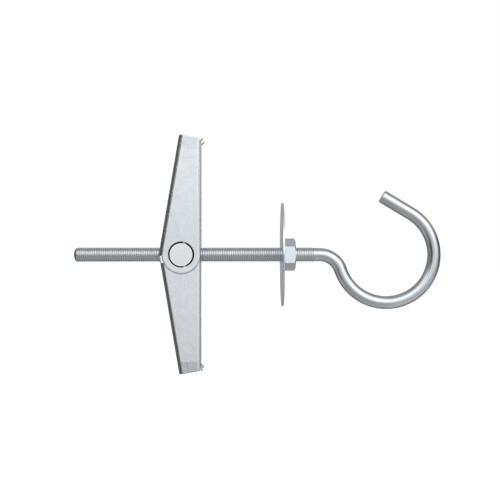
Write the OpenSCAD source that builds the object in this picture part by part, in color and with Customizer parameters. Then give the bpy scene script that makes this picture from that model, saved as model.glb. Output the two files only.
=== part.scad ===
// Spring toggle hook for a hollow wall or ceiling.
// X runs along the rod from its free end towards the hook, and Z is up: the hook opens upward.
// The origin is on the rod's axis, in the plane of the washer's face that lies against the wall.
// The wings stand open, resting on their stops. They fold towards the hook, over the rod.

/* [Thread] */
// Major diameter of the thread on the rod
thread_d = 5; // [4:0.5:7]
// Length of the threaded rod behind the wall face
thread_back = 75.6; // [60:0.2:120]
// Length of the thread in front of the wall face
thread_front = 11.4; // [10:0.2:20]
// Length of the rounded free end
point_h = 1.2; // [0.8:0.1:2.4]
// Length of the cone where the thread runs out into the plain wire
runout = 0.6; // [0.3:0.1:1.5]
// Radial clearance between the rod's thread and what is screwed on it
thread_gap = 0.05; // [0.02:0.01:0.1]

/* [Hook] */
// Diameter of the plain wire
wire_d = 4.8; // [3.2:0.1:6]
// Straight plain wire between the thread's end and the first bend
neck = 2.5; // [1:0.1:10]
// Centreline radius of the bend that leads down into the hook
neck_r = 8.1; // [6:0.1:14]
// Centreline radius of the hook
hook_r = 17.5; // [13:0.1:25]
// Where the hook's arc ends, as an angle above the horizontal
arc_end = 59; // [45:1:80]
// Straight leg after the arc
leg = 12.2; // [4:0.2:20]
// Bevel on the cut end of the leg
end_bevel = 0.25; // [0.1:0.05:0.6]
// Swell of the wire where the two bends meet
swell = 0.02; // [0.01:0.01:0.1]

/* [Cross nut] */
// Distance from the wall face back to the wings' pivot
pivot_back = 36.2; // [25:0.2:48]
// Diameter of the barrel
barrel_d = 9; // [8.5:0.1:11]
// Bevel round each end of the barrel
barrel_bevel = 0.4; // [0.2:0.05:0.8]
// Radial clearance of the barrel in the wings' holes
barrel_gap = 0.1; // [0.05:0.01:0.2]

/* [Wings] */
// Outside width of the outer wing's channel
channel_w = 12; // [11.4:0.1:16]
// Thickness of the wings' sheet
sheet_t = 1; // [0.8:0.05:1.2]
// Outer radius of the sheet's bends
bend_r = 1.4; // [1.3:0.05:2]
// Length of a wing from its pivot to its tip, along the web
wing_len = 42.5; // [32:0.5:60]
// How far a web leans from square to the rod
web_lean = 9.65; // [6:0.05:12]
// Radius of the ears, and distance of the bearing edges from the pivot
ear_r = 6.8; // [6.4:0.1:8]
// Clearance of the inner wing's ears under the outer wing's web
ear_gap = 0.24; // [0.2:0.02:0.5]
// Clearance between the two wings' flanges
nest_gap = 0.1; // [0.05:0.01:0.2]
// How far the barb at each flange's tip stands out past the bearing edge
barb_out = 1.3; // [0.6:0.1:2]
// How far down the flange the barb's underside runs
barb_drop = 1.45; // [0.8:0.05:2.5]

/* [Rod slot and stops] */
// Clearance round the rod where it passes the webs
slot_gap = 0.5; // [0.3:0.05:1]
// Distance of the outer web's end above the rod's axis, on the upper side
web_end = -0.35; // [-0.6:0.05:0]
// Clearance between the outer web's end and the inner wing's stop lugs
stop_gap = 0.1; // [0.05:0.05:0.2]

/* [Spring] */
// Diameter of the spring wire
spring_wire = 0.6; // [0.4:0.05:0.65]
// Clearance of the coils round the barrel
coil_gap = 0.15; // [0.1:0.05:0.3]
// Clearance of the coils beside the rod and beside the inner wing's ears
coil_side = 0.08; // [0.04:0.01:0.1]
// How far the spring's arms reach up and down the webs
arm_len = 13; // [9:0.5:18]
// Clearance between the arms' ends and the webs
arm_gap = 0.12; // [0.08:0.01:0.3]

/* [Washer] */
// Diameter of the washer
washer_d = 37.8; // [24:0.2:50]
// Thickness of the washer
washer_t = 0.7; // [0.6:0.1:2]
// Radial clearance of the washer's hole round the thread
washer_gap = 0.25; // [0.15:0.05:0.6]
// Rounding of the washer's outer edge
washer_round = 0.2; // [0.1:0.05:0.25]

/* [Nut] */
// Size of the nut across its flats
nut_af = 10.2; // [9.6:0.2:14]
// Height of the nut
nut_h = 4.4; // [3:0.1:6]
// Angle of the bevel on the nut's outer face
nut_bevel = 30; // [20:1:40]
// Depth of the countersink at each mouth of the nut's thread
nut_sink = 0.3; // [0.1:0.05:0.5]

/* [Hidden] */
$fn = 72;

// cuts run past the faces they open by this much
past = 1;

thread_r = thread_d / 2;
wire_r = wire_d / 2;
bore_r = thread_r + thread_gap;

// the rod's free end is a spherical cap as wide as the thread at its foot
cap_r = (thread_r * thread_r + point_h * point_h) / (2 * point_h);

// the neck bends down, and the hook's circle, centred on the rod's axis, carries on from it
bend_x = thread_front + neck;
hook_x = bend_x + sqrt(hook_r * hook_r + 2 * hook_r * neck_r);
join_a = atan2(neck_r, hook_x - bend_x);

pivot_x = -pivot_back;
barrel_r = barrel_d / 2;
barrel_hole_r = barrel_r + barrel_gap;

// a wing's web stands this far from the pivot, measured square to the web
web_off = ear_r + ear_gap + sheet_t;
inner_w = channel_w - 2 * sheet_t - 2 * nest_gap;
slot_r = thread_r + slot_gap;
flange_depth = web_off + ear_r + barb_out + past;

// height of the barb's tip, where the tip edge, square to the web, meets the barb's reach
barb_x = ear_r + barb_out;
barb_z = (wing_len - barb_x * sin(web_lean)) / cos(web_lean);

// the inner wing is drawn upward like the outer one and turned over, so its heights are mirrored
lug_z = -web_end + stop_gap;
inner_web_z = slot_r;

module wire_arc(radius, r, turn) {
    // a bent wire in the X-Z plane round the origin, from +X through an angle towards +Z
    rotate([90, 0, 0])
        rotate_extrude(angle = turn)
            translate([radius, 0])
                circle(r = r);
}

module along_x(h, r1, r2) {
    rotate([0, 90, 0])
        cylinder(h = h, r1 = r1, r2 = r2);
}

module hook_rod() {
    color([0.72, 0.75, 0.77])
    union() {
        // threaded length with its rounded free end
        intersection() {
            translate([-thread_back, 0, 0])
                along_x(thread_back + thread_front, thread_r, thread_r);
            union() {
                translate([cap_r - thread_back, 0, 0])
                    sphere(r = cap_r);
                translate([point_h - thread_back, 0, 0])
                    along_x(thread_back + thread_front - point_h, thread_d, thread_d);
            }
        }
        // run-out and straight neck
        translate([thread_front, 0, 0])
            along_x(runout, thread_r, wire_r);
        translate([thread_front, 0, 0])
            along_x(neck, wire_r, wire_r);
        // bend down from the neck
        translate([bend_x, 0, -neck_r])
            rotate([0, -90, 0])
                wire_arc(neck_r, wire_r, join_a - 90);
        // the two bends meet end to end in a slight swell
        translate([hook_x - hook_r * cos(join_a), 0, -hook_r * sin(join_a)])
            sphere(r = wire_r + swell);
        // round the bottom and up to the leg, drawn back from the leg
        translate([hook_x, 0, 0])
            rotate([0, -arc_end, 0]) {
                wire_arc(hook_r, wire_r, join_a - 180 - arc_end);
                translate([hook_r, 0, 0]) {
                    cylinder(h = leg - end_bevel, r = wire_r);
                    translate([0, 0, leg - end_bevel])
                        cylinder(h = end_bevel, r1 = wire_r, r2 = wire_r - end_bevel);
                }
            }
    }
}

module barrel(length, r, bevel) {
    // round bar along Y with a bevel at each end
    rotate([90, 0, 0])
        rotate_extrude()
            polygon([
                [0, -length / 2],
                [r - bevel, -length / 2],
                [r, bevel - length / 2],
                [r, length / 2 - bevel],
                [r - bevel, length / 2],
                [0, length / 2]
            ]);
}

module cross_nut() {
    color([0.84, 0.86, 0.87])
    translate([pivot_x, 0, 0])
    difference() {
        barrel(channel_w, barrel_r, barrel_bevel);
        // tapped through for the rod
        translate([-barrel_r - past, 0, 0])
            along_x(barrel_d + 2 * past, bore_r, bore_r);
    }
}

// section of a folded channel: web at x = 0, flanges at y = +-w/2, outer radius r
module rounded_box(w, depth, r) {
    union() {
        translate([r, -w / 2])
            square([depth - r, w]);
        translate([0, r - w / 2])
            square([depth, w - 2 * r]);
        for (side = [-1, 1])
            translate([r, side * (w / 2 - r)])
                circle(r = r);
    }
}

module channel_section(w, depth) {
    difference() {
        rounded_box(w, depth, bend_r);
        translate([sheet_t, 0])
            rounded_box(w - 2 * sheet_t, depth, bend_r - sheet_t);
    }
}

// moves what is drawn square, with its web on the Z axis, to the leaning web of a wing
module on_web() {
    rotate([0, web_lean, 0])
        translate([-web_off, 0, 0])
            children();
}

// side outline of a wing, in x and z: bearing edge, barb and ear
module wing_outline(from_z) {
    union() {
        circle(r = ear_r);
        polygon([
            [-2 * web_off, from_z],
            [0, from_z],
            [0, 0],
            [ear_r, 0],
            [ear_r, barb_z - barb_drop],
            [barb_x, barb_z],
            [barb_x, 2 * wing_len],
            [-2 * web_off, 2 * wing_len]
        ]);
    }
}

module side_prism(w) {
    // a side outline given across the channel
    rotate([90, 0, 0])
        translate([0, 0, -w / 2])
            linear_extrude(height = w)
                children();
}

// a pressed wing that points up from its pivot at the origin
module wing(w, from_z) {
    difference() {
        intersection() {
            on_web()
                translate([0, 0, -2 * ear_r])
                    linear_extrude(height = wing_len + 2 * ear_r)
                        channel_section(w, flange_depth);
            side_prism(w + 2 * past)
                wing_outline(from_z);
        }
        rotate([90, 0, 0])
            translate([0, 0, -w / 2 - past])
                cylinder(h = w + 2 * past, r = barrel_hole_r);
    }
}

module outer_wing() {
    color([0.85, 0.87, 0.88])
    translate([pivot_x, 0, 0])
    difference() {
        wing(channel_w, web_end);
        // round-topped slot that lets the web stand astride the rod
        translate([-2 * web_off, 0, 0]) {
            along_x(2 * web_off - barrel_hole_r, slot_r, slot_r);
            translate([0, -slot_r, -slot_r])
                cube([2 * web_off - barrel_hole_r, 2 * slot_r, slot_r]);
        }
    }
}

// flat lug on each flange, out to the web's outer line and square to the sheet
module stop_lugs(w) {
    intersection() {
        on_web()
            translate([0, 0, -2 * ear_r])
                for (side = [-1, 1])
                    translate([0, side * (w - sheet_t) / 2 - sheet_t / 2, 0])
                        cube([web_off, sheet_t, 4 * ear_r]);
        side_prism(w + 2 * past)
            difference() {
                translate([-2 * web_off, lug_z])
                    square([2 * web_off, inner_web_z - lug_z]);
                circle(r = (ear_r + barrel_hole_r) / 2);
            }
    }
}

module inner_wing() {
    color([0.82, 0.84, 0.86])
    translate([pivot_x, 0, 0])
    mirror([0, 0, 1])
    union() {
        wing(inner_w, inner_web_z);
        stop_lugs(inner_w);
    }
}

// spring wire: a bridge on the upper web, one coil each side of the rod, two arms on the lower web
spring_r = spring_wire / 2;
coil_r = barrel_r + coil_gap + spring_r;
coil_y0 = bore_r + coil_side + spring_r;
coil_y1 = inner_w / 2 - sheet_t - coil_side - spring_r;
coil_steps = 24;
arm_steps = 4;
bridge_steps = 6;
ring_sides = 8;

// inner face of a leaning web, seen from the pivot, at height z
function web_face_x(z) = (z * sin(web_lean) - (web_off - sheet_t)) / cos(web_lean);
arm_x = web_face_x(arm_len) + spring_r + arm_gap;

// the arm leaves the coil where a line from its far end touches the coil's circle
arm_far = sqrt(arm_x * arm_x + arm_len * arm_len);
arm_a = atan2(arm_len, arm_x) + acos(coil_r / arm_far);

// half of the spring, from the middle of the bridge to the end of one lower arm
corner_r = 1.2;
half_path = concat(
    [for (i = [0 : bridge_steps])
        let (t = 90 * i / bridge_steps)
        [arm_x, coil_y0 - corner_r + corner_r * sin(t), arm_len - corner_r + corner_r * cos(t)]],
    [for (i = [1 : arm_steps - 1])
        let (t = i / arm_steps)
        [
            arm_x + t * (coil_r * cos(arm_a) - arm_x),
            coil_y0,
            (arm_len - corner_r) * (1 - t) + t * coil_r * sin(arm_a)
        ]],
    [for (i = [0 : coil_steps])
        let (t = i / coil_steps, a = arm_a + t * (720 - 2 * arm_a))
        [coil_r * cos(a), coil_y0 + t * (coil_y1 - coil_y0), coil_r * sin(a)]],
    [for (i = [1 : arm_steps])
        let (t = i / arm_steps)
        [
            coil_r * cos(arm_a) + t * (arm_x - coil_r * cos(arm_a)),
            coil_y1,
            -coil_r * sin(arm_a) - t * (arm_len - coil_r * sin(arm_a))
        ]]
);
half_n = len(half_path);

// the other half is its mirror image across the rod
spring_path = concat(
    [for (i = [half_n - 1 : -1 : 0]) [half_path[i][0], -half_path[i][1], half_path[i][2]]],
    half_path
);

function unit(v) = v / norm(v);

// direction of the wire at each point of a path
function heading(p, i) = unit(p[min(i + 1, len(p) - 1)] - p[max(i - 1, 0)]);

// a wire of round section swept along a path
module swept_wire(path, r) {
    n = len(path);
    side = unit([0.3, 1, 0.2]);
    rings = [for (i = [0 : n - 1])
        let (
            along = heading(path, i),
            across = unit(cross(along, side)),
            up = cross(across, along)
        )
        for (k = [0 : ring_sides - 1])
            path[i] + r * (cos(360 * k / ring_sides) * across + sin(360 * k / ring_sides) * up)];
    walls = [for (i = [0 : n - 2], k = [0 : ring_sides - 1])
        let (a = i * ring_sides + k, b = i * ring_sides + (k + 1) % ring_sides)
        [a, b, b + ring_sides, a + ring_sides]];
    ends = [
        [for (k = [ring_sides - 1 : -1 : 0]) k],
        [for (k = [0 : ring_sides - 1]) (n - 1) * ring_sides + k]
    ];
    polyhedron(points = rings, faces = concat(walls, ends), convexity = 6);
}

module torsion_spring() {
    color([0.62, 0.64, 0.66])
    translate([pivot_x, 0, 0])
        swept_wire(spring_path, spring_r);
}

module washer() {
    hole_r = thread_r + washer_gap;
    edge_r = washer_d / 2 - washer_round;
    color([0.74, 0.76, 0.78])
    difference() {
        union() {
            along_x(washer_t, edge_r, edge_r);
            translate([washer_round, 0, 0])
                along_x(washer_t - 2 * washer_round, washer_d / 2, washer_d / 2);
            for (x = [washer_round, washer_t - washer_round])
                translate([x, 0, 0])
                    rotate([0, 90, 0])
                        rotate_extrude()
                            translate([edge_r, 0])
                                circle(r = washer_round);
        }
        translate([-past, 0, 0])
            along_x(washer_t + 2 * past, hole_r, hole_r);
    }
}

module hex_nut() {
    corner_r = nut_af / 2 / cos(30);
    flat_r = nut_af / 2;
    bevel_h = (corner_r - flat_r) * tan(nut_bevel);
    color([0.8, 0.82, 0.84])
    translate([washer_t, 0, 0])
    difference() {
        intersection() {
            // corners up and down, a flat to each side
            rotate([0, 90, 0])
                cylinder(h = nut_h, r = corner_r, $fn = 6);
            union() {
                along_x(nut_h - bevel_h, corner_r, corner_r);
                translate([nut_h - bevel_h, 0, 0])
                    along_x(bevel_h, corner_r, flat_r);
            }
        }
        translate([-past, 0, 0])
            along_x(nut_h + 2 * past, bore_r, bore_r);
        translate([-past, 0, 0])
            along_x(past + nut_sink, bore_r + nut_sink + past, bore_r);
        translate([nut_h - nut_sink, 0, 0])
            along_x(past + nut_sink, bore_r, bore_r + nut_sink + past);
    }
}

hook_rod();
cross_nut();
outer_wing();
inner_wing();
torsion_spring();
washer();
hex_nut();
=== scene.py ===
import math

import bpy
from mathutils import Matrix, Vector


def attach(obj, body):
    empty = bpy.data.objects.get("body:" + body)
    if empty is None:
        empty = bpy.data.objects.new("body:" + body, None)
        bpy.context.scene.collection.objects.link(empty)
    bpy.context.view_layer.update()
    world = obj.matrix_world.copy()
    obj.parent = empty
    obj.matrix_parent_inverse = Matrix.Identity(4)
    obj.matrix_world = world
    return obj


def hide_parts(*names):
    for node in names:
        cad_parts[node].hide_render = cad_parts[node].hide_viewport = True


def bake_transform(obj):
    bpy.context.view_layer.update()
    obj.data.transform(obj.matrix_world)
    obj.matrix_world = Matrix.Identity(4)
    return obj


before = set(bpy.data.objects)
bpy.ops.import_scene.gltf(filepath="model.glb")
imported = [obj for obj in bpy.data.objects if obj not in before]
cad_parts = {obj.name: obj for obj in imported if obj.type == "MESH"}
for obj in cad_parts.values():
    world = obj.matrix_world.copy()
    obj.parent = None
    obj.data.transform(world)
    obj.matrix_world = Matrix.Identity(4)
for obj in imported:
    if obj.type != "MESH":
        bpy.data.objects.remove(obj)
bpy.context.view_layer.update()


# ---------------------------------------------------------------- camera
# Looks square at the side of the fitting, level with the rod, from about
# a third of a metre away, with the whole hook and both wings in view.
bpy.ops.object.camera_add(location=(-0.011443, -0.347, 0.00168), rotation=(math.pi / 2, 0, 0))
camera = bpy.context.object
camera.name = "camera"
camera.data.lens = 68.45
camera.data.sensor_width = 36
bpy.context.scene.camera = camera
bpy.context.scene.view_settings.view_transform = "Standard"


# ---------------------------------------------------------------- hook rod
# One piece of steel wire with an M5 thread rolled on it, its free end rounded and the
# other end bent down and round into an open hook, then cut square. It is zinc plated
# all over after it is bent.
mm = 0.001
pitch = 0.8 * mm
# the crests stand a little over the nominal 2.5 mm, as the thread looks fuller than that
crest_r = 2.62 * mm
root_r = 2.28 * mm
crest_flat = 0.22 * mm
root_flat = 0.10 * mm
flank = (pitch - crest_flat - root_flat) / 2
thread_from = -75.6 * mm
dome_from = -74.4 * mm
thread_to = 11.4 * mm
runout_to = 12.0 * mm
wire_r = 2.4 * mm
bend_x = 13.9 * mm
neck_r = 8.1 * mm
hook_r = 17.5 * mm
hook_x = bend_x + math.sqrt(hook_r**2 + 2 * hook_r * neck_r)
join_a = math.atan2(neck_r, hook_x - bend_x)
arc_end = math.radians(59)
leg = 12.2 * mm
leg_round = 0.25 * mm
# how the thread dies away into the plain wire
fade_from = thread_to + 0.3 * mm
faded_root_r = wire_r - 0.12 * mm
faded_crest_r = wire_r + 0.03 * mm
plain_from = runout_to + 0.6 * mm
# points closer than this are one point
weld = 2e-6
# cuts merge only what is closer than this to them
fine_cut = 1e-7


def object_mode():
    if bpy.context.object and bpy.context.object.mode != "OBJECT":
        bpy.ops.object.mode_set(mode="OBJECT")


def start_clean():
    object_mode()
    bpy.ops.object.select_all(action="DESELECT")


def choose_points(piece, test):
    """Selects the piece's points for which test(co) is true, and stays in edit mode."""
    object_mode()
    mesh = piece.data
    for part in (mesh.polygons, mesh.edges, mesh.vertices):
        part.foreach_set("select", [False] * len(part))
    for v in mesh.vertices:
        v.select = test(v.co)
    bpy.ops.object.mode_set(mode="EDIT")
    bpy.ops.mesh.select_mode(type="VERT")


def use_modifier(piece, kind, **values):
    object_mode()
    bpy.context.view_layer.objects.active = piece
    modifier = piece.modifiers.new(kind.lower(), kind)
    for name, value in values.items():
        setattr(modifier, name, value)
    bpy.ops.object.modifier_apply(modifier=modifier.name)


def close_up(piece, angle=30):
    """Merges doubles, turns the faces outward and smooths all but the sharp edges."""
    object_mode()
    bpy.ops.object.select_all(action="DESELECT")
    piece.select_set(True)
    bpy.context.view_layer.objects.active = piece
    bpy.ops.object.mode_set(mode="EDIT")
    bpy.ops.mesh.select_all(action="SELECT")
    bpy.ops.mesh.remove_doubles(threshold=weld)
    bpy.ops.mesh.normals_make_consistent(inside=False)
    bpy.ops.object.mode_set(mode="OBJECT")
    bpy.ops.object.shade_smooth_by_angle(angle=math.radians(angle))


# the thread: one pitch of its outline, wound round the rod
start_clean()
bpy.ops.mesh.primitive_plane_add(size=mm)
hook_wire = bpy.context.object
hook_wire.name = "hook_wire"
bpy.ops.object.mode_set(mode="EDIT")
bpy.ops.mesh.select_all(action="SELECT")
bpy.ops.mesh.merge(type="CENTER")
bpy.ops.transform.translate(value=(thread_from, 0, crest_r))
for along, out in ((crest_flat, 0), (flank, root_r - crest_r), (root_flat, 0), (flank, crest_r - root_r)):
    bpy.ops.mesh.extrude_vertices_move(TRANSFORM_OT_translate={"value": (along, 0, out)})
use_modifier(
    hook_wire, "SCREW", axis="X", angle=2 * math.pi, screw_offset=pitch, iterations=111,
    steps=28, render_steps=28, use_merge_vertices=False,
)
bpy.ops.object.mode_set(mode="EDIT")
bpy.ops.mesh.select_all(action="SELECT")
bpy.ops.mesh.remove_doubles(threshold=weld)

# the roots run out into the plain wire, and the crests come down to it
for beyond, is_crest, now, then in (
    (thread_to, False, root_r, faded_root_r),
    (fade_from, True, crest_r, faded_crest_r),
    (fade_from, False, faded_root_r, wire_r),
):
    choose_points(
        hook_wire,
        lambda co: co.x > beyond and (math.hypot(co.y, co.z) > wire_r) == is_crest,
    )
    bpy.ops.transform.resize(value=(1, then / now, then / now), center_override=(0, 0, 0))
bpy.ops.mesh.select_mode(type="EDGE")
bpy.ops.mesh.select_all(action="SELECT")
bpy.ops.mesh.bisect(plane_co=(runout_to, 0, 0), plane_no=(1, 0, 0), clear_outer=True, threshold=fine_cut)

# the free end: the cut turns of the thread are drawn in over a dome
bpy.ops.mesh.select_all(action="SELECT")
bpy.ops.mesh.bisect(plane_co=(dome_from, 0, 0), plane_no=(1, 0, 0), clear_inner=True, threshold=fine_cut)
dome = dome_from - thread_from
width, along = crest_r, dome_from
for turn in (10, 20, 31, 42, 54, 66, 78):
    wide = crest_r * math.cos(math.radians(turn))
    x = dome_from - dome * math.sin(math.radians(turn))
    bpy.ops.mesh.extrude_edges_move(TRANSFORM_OT_translate={"value": (x - along, 0, 0)})
    bpy.ops.transform.resize(value=(1, wide / width, wide / width), center_override=(x, 0, 0))
    width, along = wide, x
bpy.ops.mesh.edge_face_add()
object_mode()

# the plain wire: down the neck, round the hook and up the leg
start_clean()
bpy.ops.mesh.primitive_circle_add(
    vertices=40, radius=wire_r, location=(plain_from, 0, 0), rotation=(0, math.pi / 2, 0)
)
bend = bpy.context.object
bend.name = "plain_wire"
bpy.ops.object.transform_apply(location=True, rotation=True, scale=True)
bpy.ops.object.mode_set(mode="EDIT")
bpy.ops.mesh.select_all(action="SELECT")
bpy.ops.mesh.extrude_edges_move(TRANSFORM_OT_translate={"value": (bend_x - plain_from, 0, 0)})
bpy.ops.mesh.spin(
    steps=26, angle=math.pi / 2 - join_a, center=(bend_x, 0, -neck_r), axis=(0, -1, 0), use_auto_merge=False
)
bpy.ops.mesh.spin(
    steps=110, angle=math.pi - join_a + arc_end, center=(hook_x, 0, 0), axis=(0, 1, 0), use_auto_merge=False
)
up_leg = Vector((-math.sin(arc_end), 0, math.cos(arc_end)))
leg_at = Vector((hook_x + hook_r * math.cos(arc_end), 0, hook_r * math.sin(arc_end)))
bpy.ops.mesh.extrude_edges_move(TRANSFORM_OT_translate={"value": up_leg * (leg - leg_round)})
width, height = wire_r, 0
for turn in (25, 50, 70, 90):
    wide = wire_r - leg_round * (1 - math.cos(math.radians(turn)))
    high = leg_round * math.sin(math.radians(turn))
    bpy.ops.mesh.extrude_edges_move(TRANSFORM_OT_translate={"value": up_leg * (high - height)})
    middle = leg_at + up_leg * (leg - leg_round + high)
    bpy.ops.transform.resize(value=(wide / width,) * 3, center_override=middle)
    width, height = wide, high
bpy.ops.mesh.edge_face_add()
bpy.ops.mesh.inset(thickness=0.3 * mm)
object_mode()

# the two lengths are one wire: the run-out is bridged to the neck
start_clean()
bend.select_set(True)
hook_wire.select_set(True)
bpy.context.view_layer.objects.active = hook_wire
bpy.ops.object.join()
bpy.ops.object.mode_set(mode="EDIT")
bpy.ops.mesh.select_mode(type="EDGE")
bpy.ops.mesh.select_all(action="DESELECT")
bpy.ops.mesh.select_non_manifold(extend=False, use_boundary=True)
bpy.ops.mesh.bridge_edge_loops()
close_up(hook_wire, 28)


def put(tree, kind, at, **values):
    """Adds a node. Values go on its properties, or on its sockets by name or number."""
    n = tree.nodes.new(kind)
    n.location = at
    sockets = values.pop("sockets", {})
    for key, value in values.items():
        setattr(n, key, value)
    for key, value in sockets.items():
        n.inputs[key].default_value = value
    return n


def span(tree, at, low, high, to_low=0, to_high=1):
    """Stretches a value, so that low to high becomes to_low to to_high, and holds it there beyond them."""
    sockets = {"From Min": low, "From Max": high, "To Min": to_low, "To Max": to_high}
    return put(tree, "ShaderNodeMapRange", at, sockets=sockets)


def figure(tree, at, operation, first=None, second=None):
    """Works one sum on two values, of which the first or the second may be a fixed one."""
    fixed = {i: value for i, value in enumerate((first, second)) if value is not None}
    return put(tree, "ShaderNodeMath", at, operation=operation, sockets=fixed)


def link_up(tree, *links):
    """Links nodes. Each link is a node and its output, then a node and its input."""
    for start, output, end, into in links:
        tree.links.new(start.outputs[output], end.inputs[into])


def zinc_plating():
    """Zinc on steel: dull blotches, dark pits and fine rubbed lines over a pale coat."""
    group = bpy.data.node_groups.new("zinc_plating", "ShaderNodeTree")
    for name, kind, value in (
        ("Place", "NodeSocketVector", None),
        ("Rub Place", "NodeSocketVector", None),
        ("Bright", "NodeSocketColor", (0.8, 0.8, 0.8, 1)),
        ("Dull", "NodeSocketColor", (0.6, 0.6, 0.6, 1)),
        ("Pit Colour", "NodeSocketColor", (0.3, 0.3, 0.3, 1)),
        ("Blotch Scale", "NodeSocketFloat", 300),
        ("Blotches", "NodeSocketFloat", 0.5),
        ("Pit Scale", "NodeSocketFloat", 2600),
        ("Pits", "NodeSocketFloat", 0.4),
        ("Rub Scale", "NodeSocketFloat", 900),
        ("Rub", "NodeSocketFloat", 0.3),
        ("Smooth", "NodeSocketFloat", 0.3),
        ("Rough", "NodeSocketFloat", 0.5),
    ):
        socket = group.interface.new_socket(name=name, in_out="INPUT", socket_type=kind)
        if value is not None:
            socket.default_value = value
    for name, kind in (
        ("Color", "NodeSocketColor"), ("Roughness", "NodeSocketFloat"), ("Height", "NodeSocketFloat"),
    ):
        group.interface.new_socket(name=name, in_out="OUTPUT", socket_type=kind)
    into = put(group, "NodeGroupInput", (-1000, 0))
    out = put(group, "NodeGroupOutput", (900, 0))
    blotch = put(group, "ShaderNodeTexNoise", (-700, 300), sockets={"Detail": 5, "Roughness": 0.62})
    pit = put(group, "ShaderNodeTexNoise", (-700, 0), sockets={"Detail": 2, "Roughness": 0.5})
    rub = put(group, "ShaderNodeTexNoise", (-700, -300), sockets={"Detail": 3, "Roughness": 0.6})
    for texture, place, scale in (
        (blotch, "Place", "Blotch Scale"), (pit, "Place", "Pit Scale"), (rub, "Rub Place", "Rub Scale"),
    ):
        link_up(group, (into, place, texture, "Vector"), (into, scale, texture, "Scale"))
    spread = span(group, (-450, 300), 0.32, 0.68)
    holes = span(group, (-450, 0), 0.6, 0.74)
    lines = span(group, (-450, -300), 0.35, 0.7)
    for texture, stretch in ((blotch, spread), (pit, holes), (rub, lines)):
        link_up(group, (texture, "Fac", stretch, "Value"))
    amounts = []
    for stretch, name, y in ((spread, "Blotches", 300), (holes, "Pits", 0), (lines, "Rub", -300)):
        amount = figure(group, (-220, y), "MULTIPLY")
        link_up(group, (stretch, "Result", amount, 0), (into, name, amount, 1))
        amounts.append(amount)
    dulled = put(group, "ShaderNodeMix", (0, 300), data_type="RGBA")
    link_up(
        group,
        (amounts[0], 0, dulled, "Factor"), (into, "Bright", dulled, "A"), (into, "Dull", dulled, "B"),
    )
    pitted = put(group, "ShaderNodeMix", (200, 300), data_type="RGBA")
    link_up(
        group,
        (amounts[1], 0, pitted, "Factor"), (dulled, "Result", pitted, "A"),
        (into, "Pit Colour", pitted, "B"),
    )
    rubbed = put(group, "ShaderNodeMix", (400, 300), data_type="RGBA")
    link_up(
        group,
        (amounts[2], 0, rubbed, "Factor"), (pitted, "Result", rubbed, "A"), (into, "Bright", rubbed, "B"),
        (rubbed, "Result", out, "Color"),
    )
    worn = figure(group, (200, 0), "ADD")
    link_up(group, (amounts[0], 0, worn, 0), (amounts[1], 0, worn, 1))
    rough = span(group, (400, 0), 0, 1)
    link_up(
        group,
        (worn, 0, rough, "Value"), (into, "Smooth", rough, "To Min"), (into, "Rough", rough, "To Max"),
        (rough, "Result", out, "Roughness"),
    )
    relief = figure(group, (200, -250), "SUBTRACT")
    link_up(group, (blotch, "Fac", relief, 0), (amounts[1], 0, relief, 1))
    grooved = figure(group, (400, -250), "SUBTRACT")
    link_up(group, (relief, 0, grooved, 0), (amounts[2], 0, grooved, 1), (grooved, 0, out, "Height"))
    return group


def plated(name, values, stretch=(1, 1, 1), relief=0.02, depth=0.00004):
    """A plated metal: the shader stays here, and the plating puts out its colours and relief."""
    material = bpy.data.materials.new(name)
    material.use_nodes = True
    tree = material.node_tree
    shader = tree.nodes["Principled BSDF"]
    shader.inputs["Metallic"].default_value = 1
    place = put(tree, "ShaderNodeTexCoord", (-1100, 0))
    drawn = put(tree, "ShaderNodeMapping", (-900, -200), sockets={"Scale": stretch})
    plating = bpy.data.node_groups["zinc_plating"]
    coat = put(tree, "ShaderNodeGroup", (-600, 0), node_tree=plating, sockets=values)
    bump = put(tree, "ShaderNodeBump", (-300, -300), sockets={"Strength": relief, "Distance": depth})
    link_up(
        tree,
        (place, "Object", coat, "Place"), (place, "Object", drawn, "Vector"),
        (drawn, "Vector", coat, "Rub Place"), (coat, "Color", shader, "Base Color"),
        (coat, "Roughness", shader, "Roughness"), (coat, "Height", bump, "Height"),
        (bump, "Normal", shader, "Normal"),
    )
    return material, shader, coat


zinc_plating()
zinc_wire, shader, coat = plated(
    "zinc_wire",
    {
        "Bright": (0.62, 0.65, 0.67, 1), "Dull": (0.53, 0.56, 0.58, 1), "Pit Colour": (0.28, 0.30, 0.32, 1),
        "Blotch Scale": 420, "Blotches": 0.6, "Pit Scale": 3000, "Pits": 0.25,
        "Rub Scale": 1600, "Rub": 0.25, "Smooth": 0.14, "Rough": 0.24,
    },
    stretch=(1, 1, 1), relief=0.25,
)
# a lighter, rubbed coat along the thread with painted shade in its roots, some of it dirt, and a painted dark
# reflection in a ring round the shoulder of its rounded end
tree = zinc_wire.node_tree
place = put(tree, "ShaderNodeTexCoord", (-1100, 600))
apart = put(tree, "ShaderNodeSeparateXYZ", (-900, 600))
link_up(tree, (place, "Object", apart, 0))
square = [figure(tree, (-700, 700 - 160 * i), "MULTIPLY") for i in range(2)]
for n, axis in zip(square, ("Y", "Z")):
    link_up(tree, (apart, axis, n, 0), (apart, axis, n, 1))
total = figure(tree, (-520, 640), "ADD")
radius = figure(tree, (-360, 640), "SQRT")
depth = span(tree, (-200, 640), crest_r, root_r)
on_thread = span(tree, (-200, 400), runout_to, thread_to)
both = figure(tree, (0, 560), "MULTIPLY")
rubbed = put(tree, "ShaderNodeMix", (60, 760), data_type="RGBA", sockets={"B": (0.70, 0.735, 0.755, 1)})
# painted shade in the thread's roots, with some dirt
root_shade_and_dirt = put(tree, "ShaderNodeMix", (240, 560), data_type="RGBA", sockets={"B": (0.60, 0.63, 0.65, 1)})
# a ring of painted dark reflection round the shoulder of the rounded end
at_end = span(tree, (0, 1180), -74.3 * mm, -74.75 * mm)
at_tip = span(tree, (0, 1440), -75.35 * mm, -75.1 * mm, to_low=0.2, to_high=0.85)
end_ring = figure(tree, (200, 1300), "MULTIPLY")
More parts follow.
